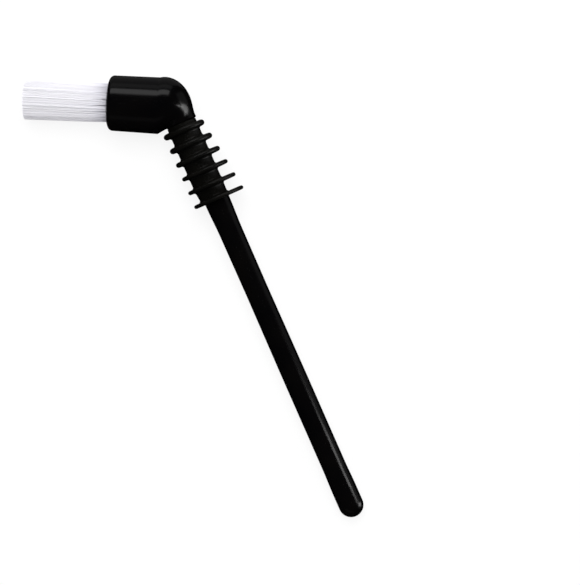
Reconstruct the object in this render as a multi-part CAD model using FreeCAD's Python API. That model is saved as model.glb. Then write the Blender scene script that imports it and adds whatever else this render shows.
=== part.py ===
import FreeCAD, Part
import math
import os
from FreeCAD import Matrix, Placement, Rotation, Vector

# Angled cleaning brush, in millimetres. It is drawn lying flat and is then set down on its three rest points.
#
# Drawing frame: the handle axis and the head axis meet at the origin. +X runs along the handle to its round
# end, -Y is the inner side, where the bristles point, +Y is the outer side, and +Z is across both axes.
# "along" is a distance from the origin along the handle, "reach" is one along the head axis.

# ---------------------------------------------------------------- driving sizes

bend_angle = 117.0          # between the handle axis and the head axis, degrees

# handle
handle_length = 168.7       # from the axes' meeting point to the round end
shoulder_r = 4.83           # just below the last fin
waist_r = 4.37              # thinnest place
grip_r = 4.53               # true cylinder, the length that a holder or clip takes
end_swell_r = 4.72          # and the radius of the round end
taper_end_r = 4.47          # where the quick taper below the guard ends
taper_gap = 13.5            # from the shoulder to there
waist_gap = 37.5            # from the shoulder to the waist
grip_gap = 71.0             # from the shoulder to where the grip cylinder starts
grip_length = 38.0
end_swell_back = 6.0        # from the centre of the round end back to where the swell is complete

# keyed spigot that carries the guard and the head
spigot_r = 3.20
key_depth = 0.65            # how deep the flat is cut that keys the guard and the head
spigot_beyond = 1.0         # past the axes' meeting point
spigot_chamfer = 0.5
spigot_clearance = 0.05
spigot_end_gap = 0.4

# splash guard
guard_start = 6.5           # along the handle, where the elbow ends and the guard begins
fin_pitch = 5.66
first_fin_gap = 2.70        # from there to the middle of the first fin
fin_thickness = (2.20, 2.10, 1.90, 1.60, 1.55, 1.50)   # from the head to the handle
fin_overhang = 2.50         # past the neck, all along the inner side and at the first fin's outer side
fin_outer_step = 0.716      # how much further out each next fin reaches
neck_r = 5.72
neck_shift = -0.72          # the neck stands this far to the inner side
neck_taper = 0.30           # how much smaller the neck is where it meets the last fin
neck_taper_shift = 0.22     # and how far its middle has moved outwards there
fin_root_fillet = 0.9
seam_chamfer = 0.35         # on both edges of the seam between elbow and guard

# head
head_reach = 25.2           # from the axes' meeting point to the mouth
mouth_wall = 1.93           # round the carrier, at the mouth
head_draft = 0.24           # how much larger the socket is where the elbow begins
elbow_reach = 6.4           # where the straight socket ends and the elbow begins
elbow_sections = 7
foot_lead = 0.55            # below 1 the bend's inner line runs ahead of its turn
elbow_end_step = 0.38       # how far the elbow's end stands proud of the guard's neck
elbow_end_shift = 0.12      # and how far outwards it stands
lip_round = 1.75

# bristle carrier, a drilled plug in the head's socket
carrier_edge = 1.00         # outside the outer ring of holes
carrier_thickness = 8.0
carrier_recess = 3.0        # from the mouth back to the carrier's face
carrier_clearance = 0.05
seat_width = 1.6            # the shoulder that the carrier seats on
core_depth = 7.0            # the cored space behind the carrier

# bristle tufts and the anchor staple that each is folded over
ring_pitch = 2.20
tuft_rings = 3
hole_r = 0.80
hole_depth = 5.6
tuft_clearance = 0.05
tip_gap = 0.25              # between neighbours at their tips
field_flare = 0.70          # how much wider the whole bristle field is at its tips
bristle_length = 31.8       # from the mouth to the tips
staple_width = 2.0
staple_height = 1.3
staple_thickness = 0.3
staple_lift = 0.35          # from the hole's floor to the staple
tuft_floor_gap = 0.05

# ---------------------------------------------------------------- sizes that follow

fin_count = len(fin_thickness)
first_fin = guard_start + first_fin_gap
last_fin = first_fin + (fin_count - 1) * fin_pitch
shoulder_along = last_fin + fin_thickness[-1] / 2
spigot_flat = spigot_r - key_depth
spigot_bore_r = spigot_r + spigot_clearance
spigot_bore_flat = spigot_flat + spigot_clearance
end_centre = handle_length - end_swell_r

neck_end_r = neck_r - neck_taper
neck_end_shift = neck_shift + neck_taper_shift
fin_inner_reach = neck_r - neck_shift + fin_overhang
fin_outer_first = neck_r + neck_shift + fin_overhang
elbow_end_r = neck_r + elbow_end_step
elbow_end_y = neck_shift + elbow_end_shift

outer_ring_r = tuft_rings * ring_pitch
carrier_r = outer_ring_r + hole_r + carrier_edge
socket_r = carrier_r + carrier_clearance
core_r = carrier_r - seat_width
head_mouth_r = socket_r + mouth_wall
head_back_r = head_mouth_r + head_draft
carrier_face = head_reach - carrier_recess
carrier_back = carrier_face - carrier_thickness
hole_floor = carrier_face - hole_depth
tip_reach = head_reach + bristle_length
tuft_root_r = hole_r - tuft_clearance
field_tip_r = outer_ring_r + hole_r + field_flare
tuft_tip_r = (field_tip_r - tip_gap * tuft_rings) / (2 * tuft_rings + 1)
splay = (field_tip_r - tuft_tip_r) / outer_ring_r

along_axis = Vector(1, 0, 0)
across = Vector(0, 0, 1)
turn = math.radians(bend_angle)
head_axis = Vector(math.cos(turn), -math.sin(turn), 0)
head_side = Vector(-math.sin(turn), -math.cos(turn), 0)   # square to the head axis, away from the handle


def circle(centre, normal, radius):
    """A round wire."""
    return Part.Wire([Part.Circle(centre, normal, radius).toShape()])


def line(start, end):
    return Part.makeLine(start, end)


def arc(start, middle, end):
    return Part.Arc(start, middle, end).toShape()


def turned(edges, base, axis):
    """The solid that a closed outline, touching the axis, makes in one turn."""
    return Part.Face(Part.Wire(edges)).revolve(base, axis, 360)


def on_head(reach, side=0.0, height=0.0):
    """A point given by its distance along the head axis, square to it in the brush's plane, and across."""
    return head_axis * reach + head_side * side + across * height


def keyed_rod(start, end, radius, flat):
    """A rod along the handle axis with one flat on its outer side."""
    rod = Part.makeCylinder(radius, end - start, Vector(start, 0, 0), along_axis)
    keep = Part.makeBox(end - start, radius + flat, 2 * radius, Vector(start, -radius, -radius))
    return rod.common(keep)


# ---------------------------------------------------------------- handle

def smooth_edge(start, end):
    """A curve between two points of the handle's outline that leaves and arrives along the axis."""
    curve = Part.BSplineCurve()
    span = (end - start).x
    middle = (start + end) / 2
    slope = 1.5 * (end - start).y / span
    curve.interpolate(
        Points=[start, middle, end],
        Tangents=[Vector(1, 0, 0), Vector(1, slope, 0).normalize(), Vector(1, 0, 0)],
        TangentFlags=[True, True, True],
    )
    return curve.toShape()


def make_handle():
    """One rod: a waist behind the guard, a straight grip and a swollen round end, with the spigot in front."""
    shoulder = Vector(shoulder_along, shoulder_r, 0)
    taper_end = Vector(shoulder_along + taper_gap, taper_end_r, 0)
    waist = Vector(shoulder_along + waist_gap, waist_r, 0)
    grip_start = Vector(shoulder_along + grip_gap, grip_r, 0)
    grip_end = grip_start + Vector(grip_length, 0, 0)
    swell = Vector(end_centre - end_swell_back, end_swell_r, 0)
    end_start = Vector(end_centre, end_swell_r, 0)
    tip = Vector(handle_length, 0, 0)
    mid_end = Vector(end_centre + end_swell_r * math.cos(math.pi / 4), end_swell_r * math.sin(math.pi / 4), 0)
    foot = Vector(shoulder_along, 0, 0)
    edges = [
        line(foot, shoulder),
        smooth_edge(shoulder, taper_end),
        smooth_edge(taper_end, waist),
        smooth_edge(waist, grip_start),
        line(grip_start, grip_end),
        smooth_edge(grip_end, swell),
        line(swell, end_start),
        arc(end_start, mid_end, tip),
        line(tip, foot),
    ]
    rod = turned(edges, Vector(), along_axis)
    spigot = keyed_rod(-spigot_beyond, shoulder_along, spigot_r, spigot_flat)
    nose = turned(
        [
            line(Vector(-spigot_beyond, 0, 0), Vector(-spigot_beyond, spigot_r - spigot_chamfer, 0)),
            line(Vector(-spigot_beyond, spigot_r - spigot_chamfer, 0),
                 Vector(-spigot_beyond + spigot_chamfer, spigot_r, 0)),
            line(Vector(-spigot_beyond + spigot_chamfer, spigot_r, 0), Vector(shoulder_along, spigot_r, 0)),
            line(Vector(shoulder_along, spigot_r, 0), foot),
            line(foot, Vector(-spigot_beyond, 0, 0)),
        ],
        Vector(), along_axis,
    )
    return rod.fuse(spigot.common(nose)).removeSplitter()


# ---------------------------------------------------------------- splash guard

def make_fin(number):
    """A round disc with a full-round rim. Each reaches further out, while the inner edges stay in line."""
    outer = fin_outer_first + number * fin_outer_step
    radius = (outer + fin_inner_reach) / 2
    centre_y = (outer - fin_inner_reach) / 2
    middle = first_fin + number * fin_pitch
    half = fin_thickness[number] / 2
    rim = radius - half
    edges = [
        line(Vector(middle - half, centre_y, 0), Vector(middle - half, centre_y + rim, 0)),
        arc(Vector(middle - half, centre_y + rim, 0), Vector(middle, centre_y + radius, 0),
            Vector(middle + half, centre_y + rim, 0)),
        line(Vector(middle + half, centre_y + rim, 0), Vector(middle + half, centre_y, 0)),
        line(Vector(middle + half, centre_y, 0), Vector(middle - half, centre_y, 0)),
    ]
    return turned(edges, Vector(0, centre_y, 0), along_axis)


def make_guard():
    """A sleeve with six fins, bored to slide over the keyed spigot."""
    taper_start = last_fin - fin_pitch + fin_thickness[-2] / 2
    taper_end = last_fin - fin_thickness[-1] / 2
    neck_y = Vector(0, neck_shift, 0)
    sleeve = Part.makeCylinder(neck_r, taper_start - guard_start, Vector(guard_start, 0, 0) + neck_y, along_axis)
    seam = [edge for edge in sleeve.Edges if abs(edge.BoundBox.XMax - guard_start) < 1e-6]
    sleeve = sleeve.makeChamfer(seam_chamfer, seam)
    taper = Part.makeLoft(
        [
            circle(Vector(taper_start, neck_shift, 0), along_axis, neck_r),
            circle(Vector(taper_end, neck_end_shift, 0), along_axis, neck_end_r),
        ],
        True, True,
    )
    body = sleeve.multiFuse([taper] + [make_fin(number) for number in range(fin_count)]).removeSplitter()
    roots = []
    for edge in body.Edges:
        box = edge.BoundBox
        flat = box.XLength < 1e-4
        neck_sized = neck_end_r * 2 - 0.05 < box.ZLength < neck_r * 2 + 0.05
        at_fin = box.XMin > first_fin
        if flat and neck_sized and at_fin:
            roots.append(edge)
    body = body.makeFillet(fin_root_fillet, roots)
    return body.cut(keyed_rod(guard_start - 1, shoulder_along + 1, spigot_bore_r, spigot_bore_flat))


# ---------------------------------------------------------------- head

def elbow_section(fraction):
    """One round section of the elbow, from the socket (0) to the neck (1).

    Each section stands on an inner line under the bend and leans further over; its size eases from the
    socket's to the neck's.
    """
    bend = math.pi - turn
    lean = fraction * bend
    ease = 1 - fraction * fraction * (3 - 2 * fraction)
    radius = elbow_end_r + (head_back_r - elbow_end_r) * ease
    first = on_head(elbow_reach, -head_back_r)
    last = Vector(guard_start - seam_chamfer, elbow_end_y - elbow_end_r, 0)
    foot = first + (last - first) * fraction ** foot_lead
    outward = head_side * math.cos(lean) - head_axis * math.sin(lean)
    forward = outward.cross(across)
    ring = Part.makeCircle(radius)
    ring.Placement = Placement(foot + outward * radius, Rotation(outward, across, forward, "XYZ"))
    return Part.Wire([ring])


def make_head():
    """Socket, rounded lip and elbow in one moulding, bored for the carrier, its core and the spigot."""
    lip_start = head_reach - lip_round
    slope = (head_mouth_r - head_back_r) / (head_reach - elbow_reach)
    lip_start_r = head_back_r + slope * (lip_start - elbow_reach)
    lip_edge_r = lip_start_r - lip_round
    corner = math.sqrt(0.5) * lip_round
    edges = [
        line(on_head(elbow_reach), on_head(elbow_reach, head_back_r)),
        line(on_head(elbow_reach, head_back_r), on_head(lip_start, lip_start_r)),
        arc(on_head(lip_start, lip_start_r), on_head(lip_start + corner, lip_edge_r + corner),
            on_head(head_reach, lip_edge_r)),
        line(on_head(head_reach, lip_edge_r), on_head(head_reach)),
        line(on_head(head_reach), on_head(elbow_reach)),
    ]
    socket = turned(edges, Vector(), head_axis)
    sections = [elbow_section(i / (elbow_sections - 1)) for i in range(elbow_sections)]
    elbow = Part.makeLoft(sections, True, False)
    rim = Part.makeLoft(
        [
            sections[-1],
            circle(Vector(guard_start, elbow_end_y, 0), along_axis, elbow_end_r - seam_chamfer),
        ],
        True, True,
    )
    body = socket.multiFuse([elbow, rim])
    bore = Part.makeCylinder(socket_r, head_reach - carrier_back + 1, on_head(carrier_back), head_axis)
    core = Part.makeCylinder(core_r, core_depth + 1, on_head(carrier_back - core_depth), head_axis)
    spigot_hole = keyed_rod(-spigot_beyond - spigot_end_gap, guard_start + 1, spigot_bore_r, spigot_bore_flat)
    return body.cut(bore).cut(core).cut(spigot_hole)


# ---------------------------------------------------------------- bristles

def tuft_places():
    """Name and place of every tuft: one in the middle and three rings around it."""
    places = [("tuft_centre", 0.0, 0.0)]
    for ring, ring_name in enumerate(["inner", "middle", "outer"][:tuft_rings], start=1):
        count = 6 * ring
        for i in range(count):
            angle = 2 * math.pi * i / count
            radius = ring * ring_pitch
            places.append((f"tuft_{ring_name}_{i + 1}", radius * math.sin(angle), radius * math.cos(angle)))
    return places


def make_staple(side, height):
    """A flat metal anchor, wider than its hole, across the foot of the tuft."""
    box = Part.makeBox(staple_height, staple_width, staple_thickness,
                       Vector(0, -staple_width / 2, -staple_thickness / 2))
    frame = Matrix(
        head_axis.x, head_side.x, across.x, 0,
        head_axis.y, head_side.y, across.y, 0,
        head_axis.z, head_side.z, across.z, 0,
    )
    box.transformShape(frame)
    box.translate(on_head(hole_floor + staple_lift, side, height))
    return box


def make_tuft(side, height, staple):
    """One bundle: straight in its hole, then spreading to the trimmed tip."""
    sections = [
        circle(on_head(hole_floor + tuft_floor_gap, side, height), head_axis, tuft_root_r),
        circle(on_head(carrier_face, side, height), head_axis, tuft_root_r),
        circle(on_head(tip_reach, side * splay, height * splay), head_axis, tuft_tip_r),
    ]
    return Part.makeLoft(sections, True, True).cut(staple)


def make_carrier(staples):
    """The drilled plug that holds the tufts, with a seat cut by every staple."""
    plug = Part.makeCylinder(carrier_r, carrier_thickness, on_head(carrier_back), head_axis)
    holes = [
        Part.makeCylinder(hole_r, hole_depth + 1, on_head(hole_floor, side, height), head_axis)
        for name, side, height in tuft_places()
    ]
    return plug.cut(Part.makeCompound(holes)).cut(Part.makeCompound(staples))


# ---------------------------------------------------------------- lying at rest

def rest_placement():
    """Turns the drawing so that the round end, the lip and the tuft tips all touch the ground.

    A point x, y of the brush's plane then stands rise + x * slope_x + y * slope_y above the ground.
    """
    lip = on_head(head_reach - lip_round)
    tip = on_head(tip_reach)
    contacts = [
        (end_centre, 0.0, end_swell_r),
        (lip.x, lip.y, head_mouth_r),
        (tip.x, tip.y, field_tip_r),
    ]
    rows = Matrix()
    for row, (x, y, height) in enumerate(contacts, start=1):
        setattr(rows, f"A{row}1", 1.0)
        setattr(rows, f"A{row}2", x)
        setattr(rows, f"A{row}3", y)
    rise, slope_x, slope_y = rows.inverse().multVec(Vector(*[height for x, y, height in contacts]))
    level = math.sqrt(1 - slope_x ** 2)
    upright = math.sqrt(1 - slope_x ** 2 - slope_y ** 2)
    plane_x = Vector(level, 0, slope_x)
    plane_y = Vector(-slope_x * slope_y / level, upright / level, slope_y)
    plane_z = plane_x.cross(plane_y)
    lay = Matrix(
        plane_x.x, plane_y.x, plane_z.x, 0,
        plane_x.y, plane_y.y, plane_z.y, 0,
        plane_x.z, plane_y.z, plane_z.z, rise,
    )
    return Placement(lay)


def build():
    places = tuft_places()
    staples = [make_staple(side, height) for name, side, height in places]
    nodes = {
        "handle": make_handle(),
        "splash_guard": make_guard(),
        "head": make_head(),
        "bristle_carrier": make_carrier(staples),
        "anchor_staples": Part.makeCompound(staples),
    }
    for (name, side, height), staple in zip(places, staples):
        nodes[name] = make_tuft(side, height, staple)

    lay = rest_placement()
    for shape in nodes.values():
        shape.Placement = lay.multiply(shape.Placement)
    box = Part.makeCompound(list(nodes.values())).optimalBoundingBox()
    to_origin = Vector(-box.Center.x, -box.Center.y, -box.ZMin)
    os.makedirs("parts", exist_ok=True)
    for name, shape in nodes.items():
        shape.translate(to_origin)
        shape.exportStep(f"parts/{name}.step")
    return lay, to_origin, nodes


lay, to_origin, nodes = build()
grip_centre = lay.multVec(Vector(shoulder_along + grip_gap + grip_length / 2, 0, 0)) + to_origin
grip_axis = lay.Rotation.multVec(along_axis)
print("grip centre", [round(value, 3) for value in grip_centre], "axis", [round(value, 5) for value in grip_axis])
print("elbow point", [round(value, 3) for value in lay.multVec(Vector()) + to_origin])
print("head axis", [round(value, 5) for value in lay.Rotation.multVec(head_axis)])
box = Part.makeCompound(list(nodes.values())).optimalBoundingBox()
print("size", round(box.XLength, 2), round(box.YLength, 2), round(box.ZLength, 2), "nodes", len(nodes))
for name, shape in nodes.items():
    if name.startswith("tuft") and name != "tuft_centre":
        continue
    print(name, shape.isValid(), len(shape.Solids), "solids", round(shape.Volume, 1), "mm3")
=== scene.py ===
import math

import bmesh
import bpy
import numpy as np
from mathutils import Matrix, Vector


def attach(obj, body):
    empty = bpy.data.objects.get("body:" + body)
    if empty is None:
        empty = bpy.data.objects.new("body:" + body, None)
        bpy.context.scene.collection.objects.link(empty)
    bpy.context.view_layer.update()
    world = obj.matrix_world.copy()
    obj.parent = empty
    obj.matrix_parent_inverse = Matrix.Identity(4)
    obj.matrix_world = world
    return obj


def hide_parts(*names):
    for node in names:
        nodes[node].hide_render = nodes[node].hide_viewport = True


# Angled cleaning brush lying on its side on a pale studio table: black polypropylene mouldings and white nylon
# bristles. Metres, Z up; the handle points along +X and the bristles along -Y.

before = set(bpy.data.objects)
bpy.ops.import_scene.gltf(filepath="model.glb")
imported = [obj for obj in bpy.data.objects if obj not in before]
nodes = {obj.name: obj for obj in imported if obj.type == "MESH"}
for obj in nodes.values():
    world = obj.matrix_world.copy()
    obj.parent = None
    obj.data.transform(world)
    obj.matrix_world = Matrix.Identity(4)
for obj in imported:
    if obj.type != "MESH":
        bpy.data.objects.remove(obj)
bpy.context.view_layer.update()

MM = 0.001


# ------------------------------------------------------------------ helpers

def linear(code):
    """Linear red, green, blue and alpha from an sRGB hex code."""
    values = []
    for place in (0, 2, 4):
        value = int(code[place:place + 2], 16) / 255
        values.append(value / 12.92 if value <= 0.04045 else ((value + 0.055) / 1.055) ** 2.4)
    return (*values, 1.0)


def fill(node, **sockets):
    """Sets a node's inputs by name, with _ for a space, or by number, as _0. Each takes a value, or a (node, output)
    pair to link."""
    for name, value in sockets.items():
        label = name.replace("_", " ")
        socket = node.inputs[label if label in node.inputs else int(name[1:])]
        if isinstance(value, tuple) and isinstance(value[0], bpy.types.Node):
            node.id_data.links.new(value[0].outputs[value[1]], socket)
        else:
            socket.default_value = value


def add_node(material, kind, settings=(), stops=(), **sockets):
    """Adds a node with its settings, its inputs and, on a colour ramp, its (position, sRGB hex) stops."""
    node = material.node_tree.nodes.new(kind)
    for name, value in dict(settings).items():
        setattr(node, name, value)
    for number, (position, code) in enumerate(stops):
        elements = node.color_ramp.elements
        element = elements[number] if number < len(elements) else elements.new(position)
        element.position, element.color = position, linear(code)
    fill(node, **sockets)
    return node


def new_material(name, **values):
    """A material, and its shader with the values that are the same all over."""
    material = bpy.data.materials.new(name)
    material.use_nodes = True
    shader = material.node_tree.nodes["Principled BSDF"]
    fill(shader, **values)
    return material, shader


def give(piece, material):
    """Puts one material in all of a piece's slots."""
    if not piece.material_slots:
        piece.data.materials.append(material)
    for place in piece.material_slots:
        place.material = material


# ------------------------------------------------------------------ materials

def gloss_polypropylene():
    """Black polypropylene from a polished mould: deep black with sharp reflections that waver a little where the
    wall sank in cooling, a faint orange peel, and fine rubbing marks from hands and cloths."""
    material, shader = new_material("gloss_black_polypropylene", IOR=1.49)
    place = add_node(material, "ShaderNodeTexCoord")
    # rubbed and clean patches about 12 mm across
    patches = add_node(material, "ShaderNodeTexNoise", Vector=(place, "Object"), Scale=1 / (12 * MM), Detail=3.0)
    # hairline rubbing marks, 0.4 mm apart and drawn out along the handle
    drawn = add_node(material, "ShaderNodeMapping", Vector=(place, "Object"), Scale=(0.06, 1.0, 1.0))
    hairlines = add_node(material, "ShaderNodeTexNoise", Vector=(drawn, "Vector"), Scale=1 / (0.4 * MM), Detail=4.0)
    marks = add_node(material, "ShaderNodeMath", {"operation": "MULTIPLY_ADD"},
                     _0=(hairlines, "Fac"), _1=0.35, _2=(patches, "Fac"))
    rough = add_node(material, "ShaderNodeMapRange", Value=(marks, "Value"), From_Min=0.35, From_Max=1.0,
                     To_Min=0.13, To_Max=0.24)
    tone = add_node(material, "ShaderNodeValToRGB", stops=[(0.3, "030304"), (0.7, "060505")],
                    Fac=(patches, "Fac"))
    # sink waves about 9 mm long under an orange peel of 1.2 mm
    waves = add_node(material, "ShaderNodeTexNoise", Vector=(place, "Object"), Scale=1 / (9 * MM), Detail=1.0)
    sink = add_node(material, "ShaderNodeBump", Height=(waves, "Fac"), Strength=1.0, Distance=0.05 * MM)
    peel = add_node(material, "ShaderNodeTexNoise", Vector=(place, "Object"), Scale=1 / (1.2 * MM), Detail=2.0)
    skin = add_node(material, "ShaderNodeBump", Height=(peel, "Fac"), Strength=1.0, Distance=0.003 * MM,
                    Normal=(sink, "Normal"))
    fill(shader, Base_Color=(tone, "Color"), Roughness=(rough, "Result"), Normal=(skin, "Normal"))
    return material


def satin_polypropylene():
    """Black polypropylene from a finely blasted mould: satin, so that lights spread into a dull sheen on the fins
    instead of drawing bright lines."""
    material, shader = new_material("satin_black_polypropylene", IOR=1.49)
    place = add_node(material, "ShaderNodeTexCoord")
    # cleaner and duller patches about 8 mm across
    patches = add_node(material, "ShaderNodeTexNoise", Vector=(place, "Object"), Scale=1 / (8 * MM), Detail=3.0)
    rough = add_node(material, "ShaderNodeMapRange", Value=(patches, "Fac"), From_Min=0.3, From_Max=0.7,
                     To_Min=0.40, To_Max=0.52)
    tone = add_node(material, "ShaderNodeValToRGB", stops=[(0.3, "060605"), (0.7, "0b0a08")],
                    Fac=(patches, "Fac"))
    # blasted grain, 0.15 mm
    grain = add_node(material, "ShaderNodeTexNoise", Vector=(place, "Object"), Scale=1 / (0.15 * MM), Detail=2.0)
    skin = add_node(material, "ShaderNodeBump", Height=(grain, "Fac"), Strength=0.5, Distance=0.004 * MM)
    fill(shader, Base_Color=(tone, "Color"), Roughness=(rough, "Result"), Normal=(skin, "Normal"))
    return material


def matt_acetal():
    """Black acetal, turned and drilled: matt, with a fine uneven grain left by the tools, 0.25 mm across."""
    material, shader = new_material("matt_black_acetal", IOR=1.48)
    place = add_node(material, "ShaderNodeTexCoord")
    grain = add_node(material, "ShaderNodeTexNoise", Vector=(place, "Object"), Scale=1 / (0.25 * MM), Detail=3.0)
    tone = add_node(material, "ShaderNodeValToRGB", stops=[(0.35, "161617"), (0.65, "1f1f20")],
                    Fac=(grain, "Fac"))
    rough = add_node(material, "ShaderNodeMapRange", Value=(grain, "Fac"), To_Min=0.42, To_Max=0.6)
    bump = add_node(material, "ShaderNodeBump", Height=(grain, "Fac"), Strength=0.6, Distance=0.01 * MM)
    fill(shader, Base_Color=(tone, "Color"), Roughness=(rough, "Result"), Normal=(bump, "Normal"))
    return material


def rolled_brass():
    """Brass strip as rolled and cropped: yellow metal with fine rolling lines, 0.1 mm apart."""
    material, shader = new_material("rolled_brass", Metallic=1.0)
    place = add_node(material, "ShaderNodeTexCoord")
    drawn = add_node(material, "ShaderNodeMapping", Vector=(place, "Object"), Scale=(1.0, 0.08, 1.0))
    lines = add_node(material, "ShaderNodeTexNoise", Vector=(drawn, "Vector"), Scale=1 / (0.1 * MM), Detail=2.0)
    tone = add_node(material, "ShaderNodeValToRGB", stops=[(0.3, "b8923f"), (0.7, "d4b061")],
                    Fac=(lines, "Fac"))
    rough = add_node(material, "ShaderNodeMapRange", Value=(lines, "Fac"), To_Min=0.24, To_Max=0.42)
    fill(shader, Base_Color=(tone, "Color"), Roughness=(rough, "Result"))
    return material


def drawn_nylon():
    """White nylon filament as drawn: satin, faintly cool white, a little different from one filament to the
    next, and greyed beside the black lip by painted shade."""
    material, shader = new_material("drawn_white_nylon", IOR=1.53)
    # the attribute holds each filament's own random tone, less the painted shade beside the lip
    lot = add_node(material, "ShaderNodeAttribute", {"attribute_name": "filament_tone_and_painted_shade"})
    # the lower end of the ramp is reached only where the painted lip shade lowers the tone
    tone = add_node(material, "ShaderNodeValToRGB", Fac=(lot, "Fac"),
                    stops=[(0.0, "aaa8b0"), (0.45, "e2e1e8"), (0.75, "f1f0f5"), (1.0, "f8f8fa")])
    rough = add_node(material, "ShaderNodeMapRange", Value=(lot, "Fac"), To_Min=0.3, To_Max=0.46)
    fill(shader, Base_Color=(tone, "Color"), Roughness=(rough, "Result"))
    return material


# ------------------------------------------------------------------ mouldings

black = gloss_polypropylene()
give(nodes["handle"], black)
give(nodes["head"], black)
give(nodes["splash_guard"], satin_polypropylene())
give(nodes["bristle_carrier"], matt_acetal())
give(nodes["anchor_staples"], rolled_brass())


# ------------------------------------------------------------------ bristles

RINGS = {"centre": 0, "inner": 1, "middle": 2, "outer": 3}
TUFTS = 37
ROWS, COLUMNS = 9, 9                    # outwards and round, of the filaments that share out one tuft
COUNT = ROWS * COLUMNS
FILAMENT_R = 0.085 * MM
FILAMENT_SIDES = 5
FILAMENT_CUTS = 7                       # rings between its ends
RING_EASE = 1.6                         # above 1, the rings crowd towards the hole, where the filament bends
STAPLE_ROOM = 1.75 * MM                 # from the hole's floor to the filaments' ends, past the staple
HOLE_DEPTH = 5.6 * MM
HOLE_GAP = 0.01 * MM
BARE_LENGTH = 31.8 * MM                 # of the bristles, from the lip to the tips
FIELD_GAP = 0.02 * MM                   # that the filaments keep inside the edge of the trimmed field
TRIM_SCATTER = 0.15 * MM                # how unevenly the shears leave the tips
OPENING = 9.0                           # the higher, the sooner a bundle opens out of its hole
BOW = 0.03 * MM                         # sideways bow of a single filament
STRAY = 0.42                            # of a row's or column's width, how far a filament is out of line
LOT_TONE, LOT_SCATTER = 0.80, 0.06      # middle tone of the filaments, and how it varies from one to the next
PAINTED_LIP_SHADE, PAINTED_SHADE_FADE = 0.75, 3.0 * MM  # how much painted shade is taken off the tone beside the lip, and how soon it fades out
CAP_DEPTH = 0.02 * MM                   # points this near a tuft's end belong to its flat face
SMOOTH_BELOW = math.radians(60)
SEED = 37

nylon = drawn_nylon()
random = np.random.default_rng(SEED)


def points_of(piece):
    co = np.empty(len(piece.data.vertices) * 3)
    piece.data.vertices.foreach_get("co", co)
    return co.reshape(-1, 3)


def end_of(name, axis, side):
    """Middle and radius of a tuft's flat end, on its low (-1) or high (1) side along the axis."""
    points = points_of(nodes[name])
    reach = points @ axis * side
    cap = points[reach > reach.max() - CAP_DEPTH]
    middle = (cap.min(0) + cap.max(0)) / 2
    return middle, np.linalg.norm(cap - middle, axis=1).max()


def make_bundle():
    """The filaments of one tuft on one another, straight, unit long and along Z: a five-sided rod with rings to bend
    at, repeated."""
    bpy.ops.object.select_all(action="DESELECT")
    bpy.ops.mesh.primitive_cylinder_add(vertices=FILAMENT_SIDES, radius=FILAMENT_R, depth=1.0, location=(0, 0, 0.5))
    rod = bpy.context.object
    bpy.ops.object.transform_apply(location=True)
    bpy.ops.object.mode_set(mode="EDIT")
    mesh = bmesh.from_edit_mesh(rod.data)
    bpy.ops.mesh.select_all(action="DESELECT")
    for edge in mesh.edges:
        low, high = sorted(corner.co.z for corner in edge.verts)
        edge.select_set(high - low > 0.5)
    bmesh.update_edit_mesh(rod.data)
    bpy.ops.mesh.subdivide(number_cuts=FILAMENT_CUTS)
    bpy.ops.object.mode_set(mode="OBJECT")
    multiply = rod.modifiers.new("bundle", "ARRAY")
    multiply.count = COUNT
    multiply.use_relative_offset = False
    bpy.ops.object.modifier_apply(modifier="bundle")
    return rod


bundle = make_bundle()
straight = points_of(bundle)
per_filament = len(straight) // COUNT

# the carrier's own directions: along the head, to the first outer tuft, and across
middle_points = points_of(nodes["tuft_centre"])
head_axis = np.linalg.svd(middle_points - middle_points.mean(0), full_matrices=False)[2][0]
if head_axis[1] > 0:
    head_axis = -head_axis
root_centre, root_r = end_of("tuft_centre", head_axis, -1)
tip_centre, tip_r = end_of("tuft_centre", head_axis, 1)
tuft_length = np.linalg.norm(tip_centre - root_centre)
head_axis = (tip_centre - root_centre) / tuft_length
outer_root = end_of("tuft_outer_1", head_axis, -1)[0] - root_centre
outer_tip = end_of("tuft_outer_1", head_axis, 1)[0] - tip_centre
upward = outer_root / np.linalg.norm(outer_root)
sideways = np.cross(upward, head_axis)
if (end_of("tuft_outer_5", head_axis, -1)[0] - root_centre) @ sideways < 0:
    sideways = -sideways

foot_r = np.linalg.norm(outer_root) + root_r
field_r = np.linalg.norm(outer_tip) + tip_r - FIELD_GAP
hole_r = root_r - FILAMENT_R - HOLE_GAP


def tuft_cell(name):
    """Inner and outer radius, middle angle and angle wide of the part of the trimmed field that a tuft fills. All
    the parts have the same area."""
    words = name.split("_")
    ring = RINGS[words[1]]
    if ring == 0:
        return 0.0, field_r * math.sqrt(1 / TUFTS), 0.0, 2 * math.pi
    count = 6 * ring
    inside, outside = 1 + 3 * ring * (ring - 1), 1 + 3 * ring * (ring + 1)
    return (field_r * math.sqrt(inside / TUFTS), field_r * math.sqrt(outside / TUFTS),
            2 * math.pi * (int(words[2]) - 1) / count, 2 * math.pi / count)


def disc_from_square(u, v):
    """A point of the unit disc for each point of the unit square, keeping neighbours together."""
    a, b = 2 * u - 1, 2 * v - 1
    wide = np.abs(a) > np.abs(b)
    safe_a, safe_b = np.where(a == 0, 1e-9, a), np.where(b == 0, 1e-9, b)
    angle = np.where(wide, math.pi / 4 * b / safe_a, math.pi / 2 - math.pi / 4 * a / safe_b)
    r = np.where(wide, a, b)
    return r * np.cos(angle), r * np.sin(angle)


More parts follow.
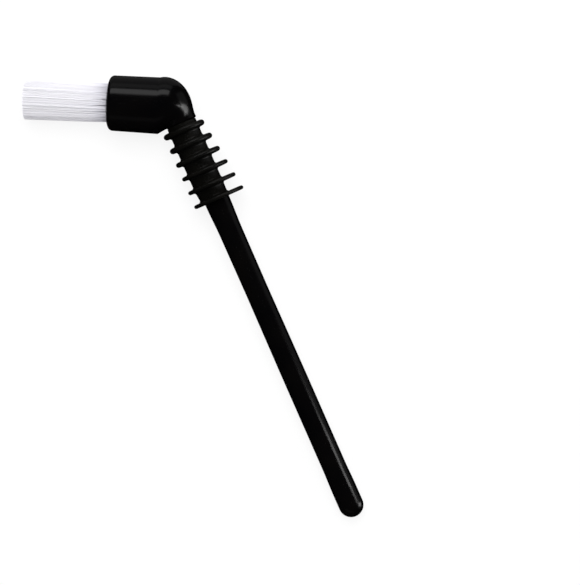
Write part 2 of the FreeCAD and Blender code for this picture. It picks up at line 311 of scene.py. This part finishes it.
def make_tuft(name):
    """One tuft: filaments led from their hole to their share of the trimmed field."""
    root = end_of(name, head_axis, -1)[0] - root_centre
    u, v = np.meshgrid((np.arange(ROWS) + 0.5) / ROWS, (np.arange(COLUMNS) + 0.5) / COLUMNS, indexing="ij")
    u = (u + random.uniform(-STRAY, STRAY, u.shape) / ROWS).ravel()
    v = (v + random.uniform(-STRAY, STRAY, v.shape) / COLUMNS).ravel()
    low_r, high_r, angle, width = tuft_cell(name)
    high_r -= FILAMENT_R
    tip_reach_r = np.sqrt(low_r ** 2 + (high_r ** 2 - low_r ** 2) * u)
    tip_angle = angle + (v - 0.5) * width
    tip_up, tip_side = tip_reach_r * np.cos(tip_angle), tip_reach_r * np.sin(tip_angle)
    # in the hole, u runs outwards and v round, as in the field
    if low_r == 0:
        local_up, local_side = hole_r * np.sqrt(u) * np.cos(tip_angle), hole_r * np.sqrt(u) * np.sin(tip_angle)
    else:
        out, round_ = disc_from_square(u, v)
        local_up = hole_r * (out * math.cos(angle) - round_ * math.sin(angle))
        local_side = hole_r * (out * math.sin(angle) + round_ * math.cos(angle))
    root_up, root_side = root @ upward + local_up, root @ sideways + local_side
    trim = random.uniform(0, 1, COUNT) ** 2 * TRIM_SCATTER
    bow_size = random.normal(0, BOW, COUNT)
    bow_angle = random.uniform(0, 2 * math.pi, COUNT)
    lot = np.clip(random.normal(LOT_TONE, LOT_SCATTER, COUNT), 0, 1)[:, None]

    along = straight[:, 2].reshape(COUNT, per_filament)
    reach = STAPLE_ROOM + ((tuft_length - trim)[:, None] - STAPLE_ROOM) * along ** RING_EASE
    t = np.clip((reach - HOLE_DEPTH) / (tuft_length - HOLE_DEPTH), 0, 1)
    opened = 1 - (1 - t) ** OPENING
    # the whole field widens evenly from its foot to its trimmed tips
    field = (foot_r + (field_r - foot_r) * t) / field_r
    bow = np.sin(math.pi * t) * bow_size[:, None]
    up = root_up[:, None] * (1 - opened) + tip_up[:, None] * field * opened + bow * np.cos(bow_angle)[:, None]
    side = root_side[:, None] * (1 - opened) + tip_side[:, None] * field * opened + bow * np.sin(bow_angle)[:, None]
    # no filament leaves the field
    shrink = np.minimum(1, (field * field_r - FILAMENT_R) / np.maximum(np.hypot(up, side), 1e-9))
    up = up * shrink + straight[:, 0].reshape(COUNT, per_filament)
    side = side * shrink + straight[:, 1].reshape(COUNT, per_filament)
    places = root_centre + reach[..., None] * head_axis + up[..., None] * upward + side[..., None] * sideways

    mesh = bundle.data.copy()
    mesh.name = name + "_bristles"
    mesh.vertices.foreach_set("co", places.reshape(-1))
    # painted shade: the random tone is darkened beside the lip, most at the lip and fading along the filament
    past_lip = np.maximum(reach - (tuft_length - BARE_LENGTH), 0)
    shade = PAINTED_LIP_SHADE * np.exp(-past_lip / PAINTED_SHADE_FADE)
    tone_and_shade = mesh.attributes.new("filament_tone_and_painted_shade", "FLOAT", "POINT")
    tone_and_shade.data.foreach_set("value", np.clip(lot - shade, 0, 1).reshape(-1))
    mesh.update()
    tuft = bpy.data.objects.new(name + "_bristles", mesh)
    bpy.context.scene.collection.objects.link(tuft)
    bpy.ops.object.select_all(action="DESELECT")
    tuft.select_set(True)
    bpy.context.view_layer.objects.active = tuft
    bpy.ops.object.mode_set(mode="EDIT")
    bpy.ops.mesh.select_all(action="SELECT")
    bpy.ops.mesh.normals_make_consistent(inside=False)
    bpy.ops.object.mode_set(mode="OBJECT")
    bpy.ops.object.shade_smooth_by_angle(angle=SMOOTH_BELOW)
    give(tuft, nylon)
    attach(tuft, "root")
    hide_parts(name)


for name in sorted(nodes):
    if name.startswith("tuft_"):
        make_tuft(name)
bpy.data.objects.remove(bundle)


# ------------------------------------------------------------------ table, light and camera

VIEW_TURN = math.radians(66.28)         # the table is seen with the handle's end lowest, turned this far
CAMERA_AT = (0.01337, 0.03275, 0.850)
LENS, SENSOR = 138.66, 36.0             # millimetres
TABLE_SIZE = 8
TABLE_GLOW = 0.86                       # of white, shining through the acrylic from below
ROOM_LIGHT = 0.44                       # of white, from all round

right = Vector((math.cos(VIEW_TURN), math.sin(VIEW_TURN), 0))
away = Vector((-right.y, right.x, 0))

# A lit table: white acrylic over lamps, even and without gloss, with soft shadows.
bpy.ops.object.select_all(action="DESELECT")
bpy.ops.mesh.primitive_plane_add(size=TABLE_SIZE, location=(0, 0, 0))
table = bpy.context.object
table.name = "studio_table"
table_top, _ = new_material("lit_white_acrylic", Base_Color=linear("606060"), Roughness=0.9, Specular_IOR_Level=0.0,
                            Emission_Color=linear("ffffff"), Emission_Strength=TABLE_GLOW)
give(table, table_top)
table.visible_glossy = False

world = bpy.data.worlds.new("studio")
bpy.context.scene.world = world
world.use_nodes = True
fill(world.node_tree.nodes["Background"], Color=linear("ffffff"), Strength=ROOM_LIGHT)
world.cycles_visibility.glossy = False


def softbox(name, target, bearing, rise, distance, width, height, radiance, gloss=True):
    """An area light that faces a target (in metres), seen from there at a bearing from the view's right and a rise
    above the table, in degrees. Radiance 1 is white."""
    bearing, rise = math.radians(bearing), math.radians(rise)
    level = right * math.cos(bearing) + away * math.sin(bearing)
    towards = level * math.cos(rise) + Vector((0, 0, 1)) * math.sin(rise)
    lamp = bpy.data.lights.new(name, "AREA")
    lamp.shape = "RECTANGLE"
    lamp.size, lamp.size_y = width, height
    lamp.energy = radiance * width * height * math.pi
    holder = bpy.data.objects.new(name, lamp)
    bpy.context.scene.collection.objects.link(holder)
    holder.location = Vector(target) + towards * distance
    holder.rotation_euler = (-towards).to_track_quat("-Z", "Y").to_euler()
    holder.visible_camera = False
    holder.visible_glossy = gloss


HEAD_MIDDLE = (-0.0765, 0.0118, 0.0207)
ELBOW = (-0.0652, 0.0238, 0.0187)
HANDLE_MIDDLE = (0.0300, 0.0240, 0.0100)
GRIP_END = (0.0880, 0.0240, 0.0092)

# name, target, bearing, rise, distance, width, height, radiance
SOFTBOXES = (
    ("softbox_far", HEAD_MIDDLE, 87, 41, 0.9, 0.95, 0.36, 1.04),        # the long band on the head
    ("softbox_right", ELBOW, -3.5, 1, 2.4, 0.80, 1.3, 2.9),             # the patch on the elbow
    ("strip_right", GRIP_END, 16.3, 25, 0.40, 0.028, 0.15, 4.8),        # the line near the handle's end
    ("card_far_high", HEAD_MIDDLE, 92, 11, 1.2, 1.6, 0.46, 0.2),        # dim greys above the band on the head
    ("card_far_low", HEAD_MIDDLE, 92, -31, 1.2, 1.6, 1.3, 0.10),
    ("card_right", HANDLE_MIDDLE, 8, 0, 0.9, 1.2, 0.7, 0.10),           # a dim edge along the handle
    ("card_near", HEAD_MIDDLE, -100, 22, 1.0, 1.0, 0.3, 0.04),          # a faint edge low on the head
)
for settings in SOFTBOXES:
    softbox(*settings)
# the key light: it models the white bristles and stays out of the reflections
softbox("key_far", (0, 0, 0), 92, 71, 1.5, 1.0, 1.0, 7.3, gloss=False)

camera_data = bpy.data.cameras.new("camera")
camera_data.lens = LENS
camera_data.sensor_width = SENSOR
camera_data.sensor_fit = "HORIZONTAL"
camera = bpy.data.objects.new("camera", camera_data)
bpy.context.scene.collection.objects.link(camera)
camera.location = CAMERA_AT
camera.rotation_euler = (0, 0, VIEW_TURN)
bpy.context.scene.camera = camera
bpy.context.scene.view_settings.view_transform = "Standard"
